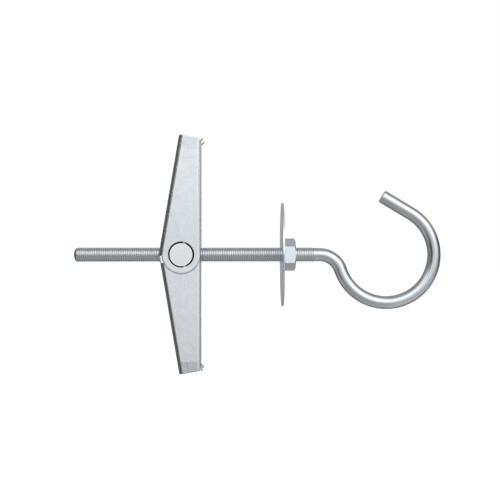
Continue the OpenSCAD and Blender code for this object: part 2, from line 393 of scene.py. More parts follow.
end_shaded = put(tree, "ShaderNodeMix", (420, 700), data_type="RGBA", sockets={"B": (0.13, 0.145, 0.15, 1)})
rougher = figure(tree, (240, 320), "MULTIPLY_ADD", second=0.16)
link_up(
    tree,
    (square[0], 0, total, 0), (square[1], 0, total, 1), (total, 0, radius, 0),
    (radius, 0, depth, "Value"), (apart, "X", on_thread, "Value"), (depth, "Result", both, 0),
    (on_thread, "Result", both, 1), (both, 0, root_shade_and_dirt, "Factor"), (on_thread, "Result", rubbed, "Factor"),
    (coat, "Color", rubbed, "A"), (rubbed, "Result", root_shade_and_dirt, "A"), (on_thread, "Result", rougher, 0),
    (coat, "Roughness", rougher, 2), (rougher, 0, shader, "Roughness"), (apart, "X", at_end, "Value"),
    (apart, "X", at_tip, "Value"), (at_end, "Result", end_ring, 0), (at_tip, "Result", end_ring, 1),
    (end_ring, 0, end_shaded, "Factor"), (root_shade_and_dirt, "Result", end_shaded, "A"),
    (end_shaded, "Result", shader, "Base Color"),
)
hook_wire.data.materials.clear()
hook_wire.data.materials.append(zinc_wire)
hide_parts("hook_rod")
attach(hook_wire, "hook_rod")


# ---------------------------------------------------------------- cross nut
# A short round bar of steel that lies across the rod between the wings' ears, turned
# and bevelled at both ends and tapped through its middle. It is the wings' hinge pin.
pivot_x = -36.2 * mm
# where the painted shade of the gap round the bar's end starts, and the strip of it that painted light
# breaks, where light falls on the gap's wall
gap_shade_r = 4.06 * mm
gap_shade_full_r = 4.12 * mm
light_break_at = 1.25 * mm
light_break_full = 0.25 * mm
light_break_edge = 0.75 * mm
light_break_shade = 0.15
# where a painted highlight runs round the bevel's edge
bevel_highlight_r = 3.92 * mm


def merged_copy(node, name, edge, clamp=True, crisp=lambda middle: False):
    """A copy of a solid as one closed skin, its edges rounded a little, apart from those that stay crisp."""
    start_clean()
    piece = bpy.data.objects.new(name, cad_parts[node].data.copy())
    bpy.context.scene.collection.objects.link(piece)
    piece.select_set(True)
    bpy.context.view_layer.objects.active = piece
    if piece.data.has_custom_normals:
        bpy.ops.mesh.customdata_custom_splitnormals_clear()
    bpy.ops.object.mode_set(mode="EDIT")
    bpy.ops.mesh.select_all(action="SELECT")
    bpy.ops.mesh.remove_doubles(threshold=weld)
    bpy.ops.mesh.dissolve_limited(angle_limit=math.radians(0.4))
    piece.data.materials.clear()
    bpy.ops.mesh.select_mode(type="EDGE")
    bpy.ops.mesh.select_all(action="DESELECT")
    bpy.ops.mesh.edges_select_sharp(sharpness=math.radians(28))
    object_mode()
    points = piece.data.vertices
    for part in (points, piece.data.polygons):
        part.foreach_set("select", [False] * len(part))
    for e in piece.data.edges:
        if e.select:
            e.select = not crisp((points[e.vertices[0]].co + points[e.vertices[1]].co) / 2)
    bpy.ops.object.mode_set(mode="EDIT")
    bpy.ops.mesh.bevel(offset=edge, segments=2, clamp_overlap=clamp, miter_outer="ARC", material=1)
    close_up(piece, 34)
    use_modifier(piece, "WEIGHTED_NORMAL", mode="FACE_AREA", weight=50, keep_sharp=True)
    return piece


def finish_piece(piece, node, body, slot, *materials):
    for material in materials:
        piece.data.materials.append(material)
    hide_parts(node)
    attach(piece, body)


barrel = merged_copy("cross_nut", "hinge_barrel", 0.03 * mm)
turned_metal = {
    "Bright": (0.83, 0.854, 0.868, 1), "Dull": (0.79, 0.82, 0.84, 1), "Pit Colour": (0.5, 0.52, 0.54, 1),
    "Blotch Scale": 260, "Blotches": 0.5, "Pit Scale": 2400, "Pits": 0.3,
    "Rub Scale": 1500, "Rub": 0.2, "Smooth": 0.2, "Rough": 0.34,
}
zinc_turned, shader, coat = plated("zinc_turned", turned_metal, stretch=(1, 1, 1), relief=0.2)
# fine rings left by the turning tool on the bar's ends
tree = zinc_turned.node_tree
place = put(tree, "ShaderNodeTexCoord", (-1300, -600))
centred = put(
    tree, "ShaderNodeMapping", (-1100, -600),
    sockets={"Location": (-pivot_x, 0, 0), "Rotation": (math.pi / 2, 0, 0)},
)
rings = put(
    tree, "ShaderNodeTexWave", (-900, -600), wave_type="RINGS", rings_direction="Z",
    sockets={"Scale": 900, "Distortion": 1.5, "Detail": 1},
)
shallow = figure(tree, (-700, -600), "MULTIPLY", second=0.12)
relief = figure(tree, (-500, -500), "ADD")
link_up(
    tree,
    (place, "Object", centred, "Vector"), (centred, "Vector", rings, "Vector"),
    (rings, "Fac", shallow, 0), (shallow, 0, relief, 0), (coat, "Height", relief, 1),
)
bump = next(n for n in tree.nodes if n.type == "BUMP")
link_up(tree, (relief, 0, bump, "Height"))
# painted shade on the bevel and the side, for the gap round the bar's end, broken in two places by painted
# light where light falls on the gap's wall, and a painted highlight along the bevel's edge
apart = put(tree, "ShaderNodeSeparateXYZ", (-900, 500))
flatten = put(tree, "ShaderNodeCombineXYZ", (-720, 500))
radius = put(tree, "ShaderNodeVectorMath", (-540, 500), operation="LENGTH")
gap_shade = span(tree, (-360, 500), gap_shade_r, gap_shade_full_r, to_high=0.97)
from_light_break = figure(tree, (-540, 750), "SUBTRACT", second=light_break_at)
off_light_break = figure(tree, (-360, 750), "ABSOLUTE")
unbroken_shade = span(tree, (-200, 750), light_break_full, light_break_edge, to_low=light_break_shade)
gap_shade_left = figure(tree, (-30, 600), "MULTIPLY")
gap_shaded = put(tree, "ShaderNodeMix", (150, 400), data_type="RGBA", sockets={"B": (0.035, 0.038, 0.04, 1)})
from_edge = figure(tree, (-540, 950), "SUBTRACT", second=bevel_highlight_r)
off_edge = figure(tree, (-360, 950), "ABSOLUTE")
bevel_highlight = span(tree, (-200, 950), 0.2 * mm, 0.1 * mm, to_high=0.6)
bright_edge = put(tree, "ShaderNodeMix", (0, 850), data_type="RGBA", sockets={"B": (0.95, 0.96, 0.97, 1)})
link_up(
    tree,
    (centred, "Vector", apart, 0), (apart, "X", flatten, "X"), (apart, "Y", flatten, "Y"),
    (flatten, 0, radius, 0), (radius, "Value", gap_shade, "Value"), (apart, "X", from_light_break, 0),
    (from_light_break, 0, off_light_break, 0), (off_light_break, 0, unbroken_shade, "Value"), (gap_shade, "Result", gap_shade_left, 0),
    (unbroken_shade, "Result", gap_shade_left, 1), (radius, "Value", from_edge, 0), (from_edge, 0, off_edge, 0),
    (off_edge, 0, bevel_highlight, "Value"), (bevel_highlight, "Result", bright_edge, "Factor"),
    (coat, "Color", bright_edge, "A"), (bright_edge, "Result", gap_shaded, "A"),
    (gap_shade_left, 0, gap_shaded, "Factor"), (gap_shaded, "Result", shader, "Base Color"),
)
finish_piece(barrel, "cross_nut", "toggle", "zinc_turned", zinc_turned, zinc_turned)


# ---------------------------------------------------------------- outer wing
# A channel pressed from 1 mm steel strip, two flanges and a web, with round ears that
# hang on the cross nut and a barb at each flange's tip. Its web ends in a slot that
# stands astride the rod. Zinc plated, bright where the edges have been tumbled.
web_off = 8.04 * mm
lean = math.radians(9.65)
ear_r = 6.8 * mm
sheet = 1 * mm
bearing_edge = pivot_x + ear_r
# the painted shade of the gap round the cross nut reaches a little way out over the rim of the hinge hole,
# with the same painted light breaks
hole_shade_to = 4.7 * mm
# a painted shade line under the outer ear's rim, drawn on the lower wing
ear_shade_r = 6.95 * mm
line_full = 0.12 * mm
line_gone = 0.24 * mm
# half the distance between the painted shade lines along the barbs' sides, and how far up the wing the barbs
# start
barb_half_step = 0.91 * mm
barbs_from = 39.1 * mm
barb_line_upper = -70.07 * mm
# on the lugs the painted shade of the bend is narrower than on the web
lug_bend_wide = 0.42 * mm


def wing_shade_and_marks():
    """Where light and shade are painted on a wing: shade round its hinge hole with two lit breaks, shade on
    its edges' roll and a highlight inside it, a shade line under the ear's rim, the barbs' highlight and
    shade lines; and how dark its tip's edges go.
    """
    group = bpy.data.node_groups.new("wing_shade_and_marks", "ShaderNodeTree")
    group.interface.new_socket(name="Place", in_out="INPUT", socket_type="NodeSocketVector")
    group.interface.new_socket(name="Barb Line", in_out="INPUT", socket_type="NodeSocketFloat")
    group.interface.new_socket(name="Up", in_out="INPUT", socket_type="NodeSocketFloat")
    for name in ("Hole Shade", "Ear Shade", "Barb Shade", "Barb Highlight", "Tip Edge", "Edge Roll Shade", "Edge Highlight"):
        group.interface.new_socket(name=name, in_out="OUTPUT", socket_type="NodeSocketFloat")
    link = group.links.new
    into = put(group, "NodeGroupInput", (-900, 0))
    out = put(group, "NodeGroupOutput", (700, 0))
    apart = put(group, "ShaderNodeSeparateXYZ", (-700, 0))
    link_up(group, (into, "Place", apart, 0))
    # distance from the hinge's axis
    along = figure(group, (-500, 250), "SUBTRACT", second=pivot_x)
    level = put(group, "ShaderNodeCombineXYZ", (-330, 250))
    away = put(group, "ShaderNodeVectorMath", (-160, 250), operation="LENGTH")
    link_up(
        group,
        (apart, "X", along, 0), (along, 0, level, "X"), (apart, "Z", level, "Y"), (level, 0, away, 0),
    )
    # painted shade round the hinge hole, broken by painted light where it falls on the gap's wall
    in_hole = span(group, (50, 350), hole_shade_to + 0.04 * mm, hole_shade_to - 0.04 * mm)
    from_light_break = figure(group, (50, 520), "SUBTRACT", second=light_break_at)
    off_light_break = figure(group, (220, 520), "ABSOLUTE")
    unbroken_shade = span(group, (380, 520), light_break_full, light_break_edge, to_low=light_break_shade)
    hole_shade = figure(group, (540, 400), "MULTIPLY")
    link_up(
        group,
        (along, 0, from_light_break, 0), (from_light_break, 0, off_light_break, 0), (off_light_break, 0, unbroken_shade, "Value"),
        (in_hole, "Result", hole_shade, 0), (unbroken_shade, "Result", hole_shade, 1),
    )
    # painted shade: a line under the outer ear's rim
    from_line = figure(group, (50, 150), "SUBTRACT", second=ear_shade_r)
    off_line = figure(group, (220, 150), "ABSOLUTE")
    ear_shade_line = span(group, (400, 150), line_gone, line_full)
    link_up(
        group,
        (away, "Value", in_hole, "Value"), (away, "Value", from_line, 0), (from_line, 0, off_line, 0),
        (off_line, 0, ear_shade_line, "Value"),
    )
    # the free edges are rolled over by the shear: painted shade along the roll, and a painted highlight just
    # inside the roll and inside the ear's rim
    up_wing = figure(group, (-500, 600), "MULTIPLY")
    on_ear = figure(group, (-330, 600), "LESS_THAN", second=0)
    to_edge = figure(group, (-330, 800), "SUBTRACT", second=bearing_edge)
    to_rim = figure(group, (-330, 960), "SUBTRACT", second=ear_r - 0.26 * mm)
    nearer = put(group, "ShaderNodeMix", (-160, 800), data_type="FLOAT")
    roll_shade = span(group, (0, 1000), -0.56 * mm, -0.46 * mm)
    off_ear = figure(group, (0, 640), "SUBTRACT", first=1)
    edge_roll_shade = figure(group, (180, 900), "MULTIPLY")
    # the painted highlight's line, just inside the edge
    from_highlight = figure(group, (0, 800), "ADD", second=0.70 * mm)
    off_highlight = figure(group, (180, 740), "ABSOLUTE")
    edge_highlight = span(group, (350, 740), line_gone, line_full)
    link_up(
        group,
        (apart, "Z", up_wing, 0), (into, "Up", up_wing, 1), (up_wing, 0, on_ear, 0),
        (apart, "X", to_edge, 0), (away, "Value", to_rim, 0), (on_ear, 0, nearer, "Factor"),
        (to_edge, 0, nearer, "A"), (to_rim, 0, nearer, "B"), (nearer, "Result", roll_shade, "Value"),
        (on_ear, 0, off_ear, 1), (roll_shade, "Result", edge_roll_shade, 0), (off_ear, 0, edge_roll_shade, 1),
        (nearer, "Result", from_highlight, 0), (from_highlight, 0, off_highlight, 0),
        (off_highlight, 0, edge_highlight, "Value"),
    )
    # painted shade lines along the barbs' sides, which run at 45 degrees, one either side of each barb, and a
    # painted highlight over the barbs
    height = figure(group, (-500, -100), "ABSOLUTE")
    across = figure(group, (-330, -100), "SUBTRACT")
    offset = figure(group, (-160, -100), "SUBTRACT")
    nearest = figure(group, (0, -100), "PINGPONG", second=barb_half_step)
    barb_shade_line = span(group, (160, -100), 0.36 * mm, 0.24 * mm)
    out_of_flange = span(group, (-330, -300), bearing_edge - 0.2 * mm, bearing_edge + 0.05 * mm)
    by_tip = span(group, (-330, -480), barbs_from, barbs_from + 0.2 * mm)
    on_barb = figure(group, (-100, -350), "MULTIPLY")
    barb_shade = figure(group, (330, -150), "MULTIPLY")
    tip_edge = span(group, (-100, -550), 38.6 * mm, 40.2 * mm)
    link_up(
        group,
        (apart, "Z", height, 0), (apart, "X", across, 0), (height, 0, across, 1), (across, 0, offset, 0),
        (into, "Barb Line", offset, 1), (offset, 0, nearest, 0), (nearest, 0, barb_shade_line, "Value"),
        (apart, "X", out_of_flange, "Value"), (height, 0, by_tip, "Value"),
        (out_of_flange, "Result", on_barb, 0), (by_tip, "Result", on_barb, 1),
        (barb_shade_line, "Result", barb_shade, 0), (on_barb, 0, barb_shade, 1), (height, 0, tip_edge, "Value"),
    )
    for name, value in (
        ("Hole Shade", hole_shade.outputs[0]), ("Ear Shade", ear_shade_line.outputs["Result"]),
        ("Barb Shade", barb_shade.outputs[0]), ("Barb Highlight", on_barb.outputs[0]),
        ("Tip Edge", tip_edge.outputs["Result"]),
        ("Edge Roll Shade", edge_roll_shade.outputs[0]), ("Edge Highlight", edge_highlight.outputs["Result"]),
    ):
        link(value, out.inputs[name])


def laid_over(tree, below, amount, strength, tint, at):
    """Lays a tint over a colour, as far as a mask goes, and gives back the mixed colour."""
    share = figure(tree, (at[0], at[1] + 180), "MULTIPLY", second=strength)
    mix = put(tree, "ShaderNodeMix", at, data_type="RGBA", sockets={"B": tint + (1,)})
    tree.links.new(amount, share.inputs[0])
    link_up(tree, (share, 0, mix, "Factor"))
    tree.links.new(below, mix.inputs["A"])
    return mix.outputs["Result"]


wing_shade_and_marks()


def sheet_metal(
    name, bright, dull, tip_band, band_dark, streaks, half_width, up, barb_line, ear_shade_strength, roll_shade,
    lug_from, bend_wide, bend_shade_tint,
):
    """Plated strip, duller across the tip where the press held it, with painted shade along the two bends and
    the wing's painted light and shade laid over.
    """
    material, shader, coat = plated(
        name,
        {
            "Bright": bright, "Dull": dull, "Pit Colour": (0.30, 0.32, 0.34, 1),
            "Blotch Scale": 420, "Blotches": 0.75, "Pit Scale": 2600, "Pits": 0.2,
            "Rub Scale": 900, "Rub": 0.3, "Smooth": 0.2, "Rough": 0.34,
        },
        stretch=(6, 1, 1), relief=0.22,
    )
    tree = material.node_tree
    place = put(tree, "ShaderNodeTexCoord", (-1300, 600))
    apart = put(tree, "ShaderNodeSeparateXYZ", (-1100, 600))
    height = figure(tree, (-900, 600), "ABSOLUTE")
    band = span(tree, (-700, 600), tip_band - 0.05 * mm, tip_band + 0.25 * mm)
    drawn = put(tree, "ShaderNodeMapping", (-1100, 350), sockets={"Scale": (1, 1, 0.06)})
    lines = put(tree, "ShaderNodeTexNoise", (-900, 350), sockets={"Scale": 3400, "Detail": 2})
    strong = span(tree, (-700, 350), 0.35, 0.65, to_low=1 - streaks, to_high=1)
    share = figure(tree, (-500, 500), "MULTIPLY")
    amount = figure(tree, (-340, 500), "MULTIPLY", second=band_dark)
    darker = put(tree, "ShaderNodeMix", (-150, 400), data_type="RGBA", sockets={"B": (0.25, 0.27, 0.29, 1)})
    link_up(
        tree,
        (place, "Object", apart, 0), (apart, "Z", height, 0), (height, 0, band, "Value"),
        (place, "Object", drawn, "Vector"), (drawn, "Vector", lines, "Vector"),
        (lines, "Fac", strong, "Value"), (band, "Result", share, 0), (strong, "Result", share, 1),
        (share, 0, amount, 0), (amount, 0, darker, "Factor"), (coat, "Color", darker, "A"),
    )
    # painted shade on the bends, flecked with light specks: within their radius of the web's outer face and
    # of the channel's side
    web_faces = (math.cos(lean), 0, -up * math.sin(lean))
    off_web = put(tree, "ShaderNodeVectorMath", (-1100, 950), operation="DOT_PRODUCT", sockets={1: web_faces})
    from_web = figure(tree, (-980, 1250), "SUBTRACT", second=pivot_x * math.cos(lean) - web_off)
    on_lug = span(tree, (-980, 1400), lug_from - 0.05 * mm, lug_from + 0.05 * mm)
    bend_reach = span(tree, (-820, 1400), 0, 1, to_low=bend_wide, to_high=lug_bend_wide)
    inside_bend = figure(tree, (-820, 1250), "SUBTRACT")
    near_web = span(tree, (-900, 950), -0.05 * mm, 0.05 * mm)
    off_bend = figure(tree, (-660, 1250), "SUBTRACT", first=1)
    # a painted highlight over the lugs' faces beside the hinge, outside the bends
    behind_axis = span(tree, (-820, 1560), -42.3 * mm, -42.5 * mm)
    lug_face = figure(tree, (-500, 1300), "MULTIPLY")
    lug_highlight = figure(tree, (-340, 1300), "MULTIPLY")
    beside = figure(tree, (-900, 780), "ABSOLUTE")
    near_side = span(tree, (-700, 780), half_width - 1.35 * mm, half_width - 1.05 * mm)
    on_bend = figure(tree, (-500, 900), "MULTIPLY")
    flecks = put(
        tree, "ShaderNodeTexNoise", (-900, 1150), sockets={"Scale": 1900, "Detail": 2, "Roughness": 0.6},
    )
    gone = span(tree, (-700, 1150), 0.56, 0.68, to_low=0.93, to_high=0.35)
    bend_shade_amount = figure(tree, (-330, 950), "MULTIPLY")
    painted_bend_shade = put(tree, "ShaderNodeMix", (-150, 700), data_type="RGBA", sockets={"B": bend_shade_tint + (1,)})
    link_up(
        tree,
        (place, "Object", off_web, 0), (off_web, "Value", from_web, 0), (apart, "Z", on_lug, "Value"),
        (on_lug, "Result", bend_reach, "Value"), (bend_reach, "Result", inside_bend, 0),
        (from_web, 0, inside_bend, 1), (inside_bend, 0, near_web, "Value"),
        (near_web, "Result", off_bend, 1), (apart, "X", behind_axis, "Value"),
        (behind_axis, "Result", lug_face, 0), (on_lug, "Result", lug_face, 1), (lug_face, 0, lug_highlight, 0),
        (off_bend, 0, lug_highlight, 1), (apart, "Y", beside, 0), (beside, 0, near_side, "Value"),
        (near_web, "Result", on_bend, 0), (near_side, "Result", on_bend, 1),
        (place, "Object", flecks, "Vector"), (flecks, "Fac", gone, "Value"), (on_bend, 0, bend_shade_amount, 0),
        (gone, "Result", bend_shade_amount, 1), (bend_shade_amount, 0, painted_bend_shade, "Factor"),
        (darker, "Result", painted_bend_shade, "A"),
    )
    marks = put(
        tree, "ShaderNodeGroup", (-600, 1400), node_tree=bpy.data.node_groups["wing_shade_and_marks"],
        sockets={"Barb Line": barb_line, "Up": up},
    )
    link_up(tree, (place, "Object", marks, "Place"))
    colour = painted_bend_shade.outputs["Result"]
    # the painted highlight on the lugs
    colour = laid_over(tree, colour, lug_highlight.outputs[0], 0.95, (0.96, 0.97, 0.98), (-60, 1300))
    # painted light and shade laid over the coat: the shade line under the ear's rim, the highlight inside the
    # edges, the shade on the edges' roll, the barbs' highlight and shade lines and the shade round the hinge
    # hole
    for i, (mark, strength, tint) in enumerate((
        ("Ear Shade", ear_shade_strength, (0.22, 0.24, 0.25)), ("Edge Highlight", 0.7, (0.93, 0.95, 0.96)),
        ("Edge Roll Shade", roll_shade, (0.5, 0.52, 0.53)), ("Barb Highlight", 0.9, (0.93, 0.95, 0.96)),
        ("Barb Shade", 0.9, (0.2, 0.21, 0.22)), ("Hole Shade", 0.95, (0.05, 0.055, 0.06)),
    )):
        colour = laid_over(tree, colour, marks.outputs[mark], strength, tint, (100 + 200 * i, 1000))
    tree.links.new(colour, shader.inputs["Base Color"])
    return material


# the coat where tumbling rubs it, on the wings' edges, the washer's rim and the nut's; the two greys differ
rubbed_coat = {
    "Pit Colour": (0.45, 0.47, 0.5, 1), "Blotch Scale": 700, "Blotches": 0.7, "Pit Scale": 3600, "Pits": 0.4,
    "Rub Scale": 1500, "Rub": 0.3, "Smooth": 0.28, "Rough": 0.45,
}


def edge_metal(name, barb_line, tip_tint):
    """The coat on the cut edges, smoother and brighter where tumbling has rubbed them, with painted light and
    shade at the barbs and round the hinge hole.
    """
    greys = {"Bright": (0.86, 0.88, 0.895, 1), "Dull": (0.72, 0.745, 0.765, 1)}
    material, shader, coat = plated(name, greys | rubbed_coat, relief=0.2)
    tree = material.node_tree
    place = put(tree, "ShaderNodeTexCoord", (-1100, 600))
    marks = put(
        tree, "ShaderNodeGroup", (-900, 600), node_tree=bpy.data.node_groups["wing_shade_and_marks"],
        sockets={"Barb Line": barb_line},
    )
    link_up(tree, (place, "Object", marks, "Place"))
    colour = coat.outputs["Color"]
    # painted light and shade on the edges: the barbs' highlight and shade lines and the shade round the hinge
    # hole; the tip's edges are tinted darker
    for i, (mark, strength, tint) in enumerate((
        ("Tip Edge", 0.9, tip_tint), ("Barb Highlight", 0.9, (0.93, 0.95, 0.96)),
        ("Barb Shade", 0.9, (0.2, 0.21, 0.22)), ("Hole Shade", 0.95, (0.05, 0.055, 0.06)),
    )):
        colour = laid_over(tree, colour, marks.outputs[mark], strength, tint, (-600 + 200 * i, 500))
    tree.links.new(colour, shader.inputs["Base Color"])
    return material


# this wing has no lugs, so they are put beyond its tip
zinc_upper = sheet_metal(
    "zinc_sheet_upper", bright=(0.785, 0.815, 0.83, 1), dull=(0.67, 0.70, 0.72, 1), tip_band=37.9 * mm,
    band_dark=0.15, streaks=0.3, half_width=6 * mm, up=1, barb_line=barb_line_upper, ear_shade_strength=0, roll_shade=0.5,
    lug_from=60 * mm, bend_wide=1.52 * mm, bend_shade_tint=(0.19, 0.21, 0.215),
)
zinc_edge_upper = edge_metal("zinc_edge_upper", barb_line_upper, (0.17, 0.18, 0.19))
upper_wing = merged_copy("outer_wing", "upper_wing", 0.3 * mm, clamp=False)
finish_piece(upper_wing, "outer_wing", "outer_wing", "zinc_sheet", zinc_upper, zinc_edge_upper)


# ---------------------------------------------------------------- inner wing
# A second channel, narrower by two sheets, that nests inside the first and hangs on the
# same cross nut. Two flat lugs beside its web meet the outer web and stop the wings
# when they are open.
barb_line_lower = -69.95 * mm
lug_behind = -41 * mm
lug_above = -4 * mm
zinc_lower = sheet_metal(
    "zinc_sheet_lower", bright=(0.84, 0.865, 0.88, 1), dull=(0.69, 0.715, 0.735, 1), tip_band=38.5 * mm,
    band_dark=0.52, streaks=0.6, half_width=4.9 * mm, up=-1, barb_line=barb_line_lower, ear_shade_strength=0.6,
    roll_shade=0.7, lug_from=-3 * mm, bend_wide=1.45 * mm, bend_shade_tint=(0.27, 0.29, 0.30),
)
zinc_edge_lower = edge_metal("zinc_edge_lower", barb_line_lower, (0.38, 0.40, 0.41))
# the lugs and the web's end beside them are cut clean
lower_wing = merged_copy(
    "inner_wing", "lower_wing", 0.3 * mm, clamp=False,
    crisp=lambda middle: middle.x < lug_behind and middle.z > lug_above,
)
finish_piece(lower_wing, "inner_wing", "inner_wing", "zinc_sheet", zinc_lower, zinc_edge_lower)


# ---------------------------------------------------------------- spring
# Hard steel wire wound in one coil each side of the rod, round the cross nut. A bridge
# presses on the upper web and two arms on the lower, so the wings spring open. It is
# hidden in use, so its form and its dark oiled look are assumed.
spring_r = 0.3 * mm
coil_r = 4.95 * mm
coil_inner = 2.93 * mm
coil_outer = 3.52 * mm
arm_top = 13 * mm
arm_gap = 0.12 * mm
arm_x = (arm_top * math.sin(lean) - (web_off - sheet)) / math.cos(lean) + spring_r + arm_gap
arm_a = math.atan2(arm_top, arm_x) + math.acos(coil_r / math.hypot(arm_x, arm_top))
corner = 1.2 * mm
# where the wires leave the coil
foot = Vector((coil_r * math.cos(arm_a), 0, coil_r * math.sin(arm_a)))


def wound(name, points):
    """A wire of round section laid along a line of points, closed at both ends."""
    start_clean()
    bpy.ops.curve.primitive_nurbs_path_add()
    wire = bpy.context.object
    wire.name = name
    line = wire.data
    line.splines.clear()
    spline = line.splines.new("POLY")
    spline.points.add(len(points) - 1)
    for spot, at in zip(spline.points, points):
        spot.co = (at[0] + pivot_x, at[1], at[2], 1)
    line.dimensions = "3D"
    line.bevel_depth = spring_r
    line.bevel_resolution = 3
    line.use_fill_caps = True
    bpy.ops.object.convert(target="MESH")
    close_up(wire, 50)
    return wire


def coil(side, share_from, share_to, steps):
    out = []
    for i in range(steps + 1):
        t = share_from + (share_to - share_from) * i / steps
        a = arm_a + t * (4 * math.pi - 2 * arm_a)
        across = side * (coil_inner + t * (coil_outer - coil_inner))
        out.append((coil_r * math.cos(a), across, coil_r * math.sin(a)))
    return out


bridge = []
for i in range(11):
    a = math.pi / 2 * i / 10
    across, up = corner * math.sin(a), corner * math.cos(a)
    bridge.append((arm_x, coil_inner - corner + across, arm_top - corner + up))
rise = [
    (arm_x + (foot.x - arm_x) * i / 12, coil_inner, (arm_top - corner) * (1 - i / 12) + foot.z * i / 12)
    for i in range(1, 12)
]
half = bridge + rise + coil(1, 0, 0.5, 60)
upper_spring = wound("spring_bridge", [(x, -y, z) for x, y, z in reversed(half)] + half)
arms = []
for side in (-1, 1):
    down = [
        (foot.x + (arm_x - foot.x) * i / 12, side * coil_outer, -foot.z - (arm_top - foot.z) * i / 12)
        for i in range(1, 13)
    ]
    arms.append(wound("spring_arm", coil(side, 0.5, 1, 60) + down))
start_clean()
for wire in arms:
    wire.select_set(True)
bpy.context.view_layer.objects.active = arms[0]
bpy.ops.object.join()
lower_spring = bpy.context.object
lower_spring.name = "spring_arms"
spring_steel, _, _ = plated(
    "spring_steel",
    {
        "Bright": (0.42, 0.41, 0.40, 1), "Dull": (0.24, 0.235, 0.23, 1), "Pit Colour": (0.12, 0.10, 0.09, 1),
        "Blotch Scale": 900, "Blotches": 0.8, "Pit Scale": 4200, "Pits": 0.5,
        "Rub Scale": 3000, "Rub": 0.4, "Smooth": 0.25, "Rough": 0.45,
    },
    relief=0.2,
)
for wire, wing, height in ((upper_spring, "outer_wing", 1), (lower_spring, "inner_wing", -1)):
    wire.data.materials.clear()
    wire.data.materials.append(spring_steel)
    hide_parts("torsion_spring")
    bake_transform(wire)


# ---------------------------------------------------------------- washer
# A large thin washer that covers the hole in the wall, blanked from strip, its outer
# edge rolled over by the punch. Zinc plated in a barrel, so it is finely scuffed.
plate = merged_copy("washer", "wall_washer", 0.06 * mm)
zinc_washer, _, _ = plated(
    "zinc_washer",
    {
        "Bright": (0.88, 0.90, 0.92, 1), "Dull": (0.76, 0.79, 0.81, 1), "Pit Colour": (0.44, 0.46, 0.48, 1),
        "Blotch Scale": 200, "Blotches": 0.6, "Pit Scale": 2200, "Pits": 0.35,
        "Rub Scale": 420, "Rub": 0.35, "Smooth": 0.26, "Rough": 0.46,
    },
    stretch=(1, 5, 1), relief=0.22,
)
# the rolled rim, smoother and brighter where barrel tumbling has rubbed it
rim_greys = {"Bright": (0.88, 0.90, 0.915, 1), "Dull": (0.74, 0.765, 0.785, 1)}
zinc_rim, _, _ = plated("zinc_rim", rim_greys | rubbed_coat, relief=0.2)
finish_piece(plate, "washer", "washer", "zinc_washer", zinc_washer, zinc_rim)


# ---------------------------------------------------------------- hex nut
# A cold-formed hexagon nut, bevelled on its outer face, that draws the washer against
# the wall. Zinc plated, with its corners rubbed bright by the spanner.
locknut = merged_copy("hex_nut", "clamp_nut", 0.09 * mm)
zinc_nut, _, _ = plated(
    "zinc_nut",
    {
        "Bright": (0.85, 0.875, 0.89, 1), "Dull": (0.78, 0.81, 0.83, 1), "Pit Colour": (0.5, 0.52, 0.54, 1),
        "Blotch Scale": 380, "Blotches": 0.5, "Pit Scale": 2600, "Pits": 0.3,
        "Rub Scale": 1300, "Rub": 0.25, "Smooth": 0.25, "Rough": 0.42,
    },
    stretch=(1, 1, 5), relief=0.2,
)
finish_piece(locknut, "hex_nut", "nut", "zinc_turned", zinc_nut, zinc_rim)


# ---------------------------------------------------------------- floor, lamps and surroundings
# A plain pale studio: a wide matt floor below the fitting, one large soft lamp overhead
# and one in front, in white surroundings. Grey screens round the sides, behind and below
# are what the bright metal mirrors.
start_clean()
bpy.ops.mesh.primitive_plane_add(size=12, location=(0, 0, -0.12))
floor = bpy.context.object
floor.name = "floor"
floor.visible_glossy = False
pale = bpy.data.materials.new("pale_floor")
pale.use_nodes = True
tree = pale.node_tree
tree.nodes.clear()
matt = put(tree, "ShaderNodeBsdfDiffuse", (0, 0), sockets={"Color": (0.5, 0.5, 0.5, 1)})
glow = put(tree, "ShaderNodeEmission", (0, -150), sockets={"Strength": 0.55})
path = put(tree, "ShaderNodeLightPath", (-400, -150))
seen = figure(tree, (-200, -150), "MULTIPLY", second=0.5)
added = put(tree, "ShaderNodeAddShader", (200, 0))
last = put(tree, "ShaderNodeOutputMaterial", (400, 0))
link_up(
    tree,
    (path, "Is Camera Ray", seen, 0), (seen, 0, glow, "Strength"), (matt, 0, added, 0),
    (glow, 0, added, 1), (added, 0, last, "Surface"),
)
floor.data.materials.append(pale)

bpy.ops.object.light_add(type="SUN", location=(0, 0.3, 1), rotation=(math.radians(-16), math.radians(6), 0))
overhead = bpy.context.object
overhead.name = "overhead"
overhead.data.energy = 2.3
overhead.data.angle = math.radians(34)
overhead.visible_glossy = False
bpy.ops.object.light_add(
    type="AREA", location=(-0.25, -0.8, 0.45), rotation=(math.radians(60), 0, math.radians(-17)),
)
front = bpy.context.object
front.name = "front"
front.data.size = 0.6
front.data.energy = 2.0
front.visible_glossy = False

